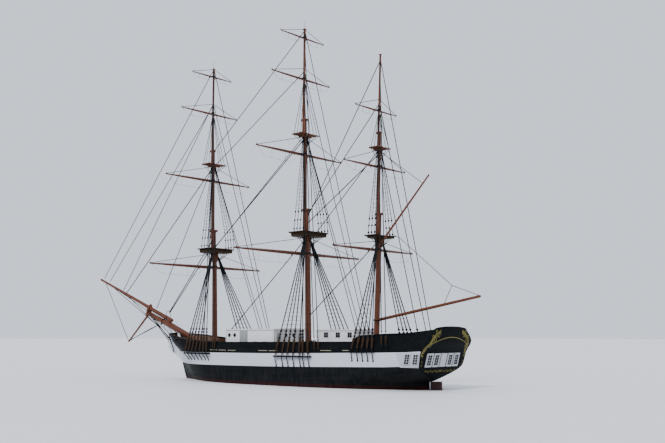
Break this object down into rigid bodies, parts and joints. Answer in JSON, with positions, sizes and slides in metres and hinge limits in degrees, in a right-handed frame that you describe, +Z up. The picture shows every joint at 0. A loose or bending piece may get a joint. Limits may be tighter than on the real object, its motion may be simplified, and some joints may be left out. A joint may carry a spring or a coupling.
{
  "type": "1:2 scale model tall ship",
  "caption": "Full-rigged tall ship under bare poles, with yards, gaff and boom that swing on their masts, deckhouses, long bowsprit, and a rudder geared to its wheel",
  "frame": {"origin": "centreline where the sternpost meets the waterline, in the waterline plane", "axes": "+X towards the bow, +Y to port, +Z up"},
  "size_m": [28.2525, 9.34, 20.9201],
  "materials": {
    "hull_paint": "satin black paint on planking",
    "white_paint": "white paint",
    "spar_varnish": "reddish brown varnish",
    "deck_planking": "scrubbed planks",
    "house_paint": "pale grey paint",
    "dark_wood": "dark stained wood",
    "black_iron": "black paint",
    "tarred_rope": "tarred"
  },
  "bodies": {
    "ship": {"aft_deckhouse": "house_paint", "bobstays": "black_iron", "bowsprit": "spar_varnish", "cutwater_knee": "white_paint", "dolphin_striker": "spar_varnish", "fore_hatch": "dark_wood", "fore_lower_mast": "spar_varnish", "fore_top": "dark_wood", "fore_topgallant_mast": "spar_varnish", "fore_topmast": "spar_varnish", "fore_topmast_stay": "tarred_rope", "forestay": "tarred_rope", "forward_deckhouse": "house_paint", "helm_box": "house_paint", "hull": "hull_paint", "jibboom": "spar_varnish", "keel_and_stem": "hull_paint", "main_deck": "deck_planking", "main_hatch": "dark_wood", "main_lower_mast": "spar_varnish", "main_top": "dark_wood", "main_topgallant_mast": "spar_varnish", "main_topmast": "spar_varnish", "main_topmast_stay": "tarred_rope", "mainstay": "tarred_rope", "mizzen_lower_mast": "spar_varnish", "mizzen_stay": "tarred_rope", "mizzen_top": "dark_wood", "mizzen_topgallant_mast": "spar_varnish", "mizzen_topmast": "spar_varnish", "mizzen_topmast_stay": "tarred_rope", "poop": "deck_planking", "poop_skylight": "house_paint", "port_bulwark": "hull_paint", "port_fore_channel": "black_iron", "port_main_channel": "black_iron", "port_mizzen_channel": "black_iron", "starboard_bulwark": "hull_paint", "starboard_fore_channel": "black_iron", "starboard_main_channel": "black_iron", "starboard_mizzen_channel": "black_iron", "taffrail": "hull_paint", "windlass": "dark_wood"},
    "fore_course_yard": {"fore_course_yard": "spar_varnish"},
    "fore_topsail_yard": {"fore_topsail_yard": "spar_varnish"},
    "fore_topgallant_yard": {"fore_topgallant_yard": "spar_varnish"},
    "fore_royal_yard": {"fore_royal_yard": "spar_varnish"},
    "main_course_yard": {"main_course_yard": "spar_varnish"},
    "main_topsail_yard": {"main_topsail_yard": "spar_varnish"},
    "main_topgallant_yard": {"main_topgallant_yard": "spar_varnish"},
    "main_royal_yard": {"main_royal_yard": "spar_varnish"},
    "crossjack_yard": {"crossjack_yard": "spar_varnish"},
    "mizzen_topsail_yard": {"mizzen_topsail_yard": "spar_varnish"},
    "mizzen_topgallant_yard": {"mizzen_topgallant_yard": "spar_varnish"},
    "spanker_gaff": {"spanker_gaff": "spar_varnish"},
    "spanker_boom": {"spanker_boom": "spar_varnish"},
    "rudder": {"rudder": "hull_paint"},
    "helm_wheel": {"helm_wheel": "spar_varnish"}
  },
  "joints": [
    {"name": "fore_course_yard_swing", "type": "hinge", "parent": "ship", "child": "fore_course_yard", "pos_m": [14.61178, 0, 6.258], "axis": [0.0263, 0, 0.9997], "range_deg": [-35, 35]},
    {"name": "fore_topsail_yard_swing", "type": "hinge", "parent": "ship", "child": "fore_topsail_yard", "pos_m": [14.85148, 0, 11.235], "axis": [0.0096, 0, 1], "range_deg": [-35, 35]},
    {"name": "fore_topgallant_yard_swing", "type": "hinge", "parent": "ship", "child": "fore_topgallant_yard", "pos_m": [14.96657, 0, 15.195], "axis": [-0.0036, 0, 1], "range_deg": [-35, 35]},
    {"name": "fore_royal_yard_swing", "type": "hinge", "parent": "ship", "child": "fore_royal_yard", "pos_m": [14.95866, 0, 17.365], "axis": [-0.0036, 0, 1], "range_deg": [-35, 35]},
    {"name": "main_course_yard_swing", "type": "hinge", "parent": "ship", "child": "main_course_yard", "pos_m": [7.5061, 0, 6.605], "axis": [0.0171, 0, 0.9999], "range_deg": [-35, 35]},
    {"name": "main_topsail_yard_swing", "type": "hinge", "parent": "ship", "child": "main_topsail_yard", "pos_m": [7.70562, 0, 11.84], "axis": [0.0013, 0, 1], "range_deg": [-35, 35]},
    {"name": "main_topgallant_yard_swing", "type": "hinge", "parent": "ship", "child": "main_topgallant_yard", "pos_m": [7.79222, 0, 15.902], "axis": [-0.0101, 0, 0.9999], "range_deg": [-35, 35]},
    {"name": "main_royal_yard_swing", "type": "hinge", "parent": "ship", "child": "main_royal_yard", "pos_m": [7.76954, 0, 18.138], "axis": [-0.0101, 0, 0.9999], "range_deg": [-35, 35]},
    {"name": "crossjack_yard_swing", "type": "hinge", "parent": "ship", "child": "crossjack_yard", "pos_m": [2.86276, 0, 6.518], "axis": [-0.042, 0, 0.9991], "range_deg": [-35, 35]},
    {"name": "mizzen_topsail_yard_swing", "type": "hinge", "parent": "ship", "child": "mizzen_topsail_yard", "pos_m": [2.8211, 0, 10.582], "axis": [-0.0356, 0, 0.9994], "range_deg": [-35, 35]},
    {"name": "mizzen_topgallant_yard_swing", "type": "hinge", "parent": "ship", "child": "mizzen_topgallant_yard", "pos_m": [2.79901, 0, 13.368], "axis": [-0.0393, 0, 0.9992], "range_deg": [-35, 35]},
    {"name": "spanker_gaff_swing", "type": "hinge", "parent": "ship", "child": "spanker_gaff", "pos_m": [2.85552, 0, 6.69], "axis": [-0.042, 0, 0.9991], "range_deg": [-35, 35]},
    {"name": "spanker_boom_swing", "type": "hinge", "parent": "ship", "child": "spanker_boom", "pos_m": [3.0045, 0, 3.15], "axis": [-0.042, 0, 0.9991], "range_deg": [-40, 40]},
    {"name": "rudder_turn", "type": "hinge", "parent": "ship", "child": "rudder", "pos_m": [-0.06, 0, 0], "axis": [0, 0, 1], "range_deg": [-35, 35]},
    {"name": "helm_turn", "type": "hinge", "parent": "ship", "child": "helm_wheel", "pos_m": [-0.06, 0, 2.39585], "axis": [1, 0, 0], "range_deg": [-320, 320]}
  ],
  "couplings": [
    {"joint": "helm_turn", "follows": "rudder_turn", "ratio": 9}
  ]
}
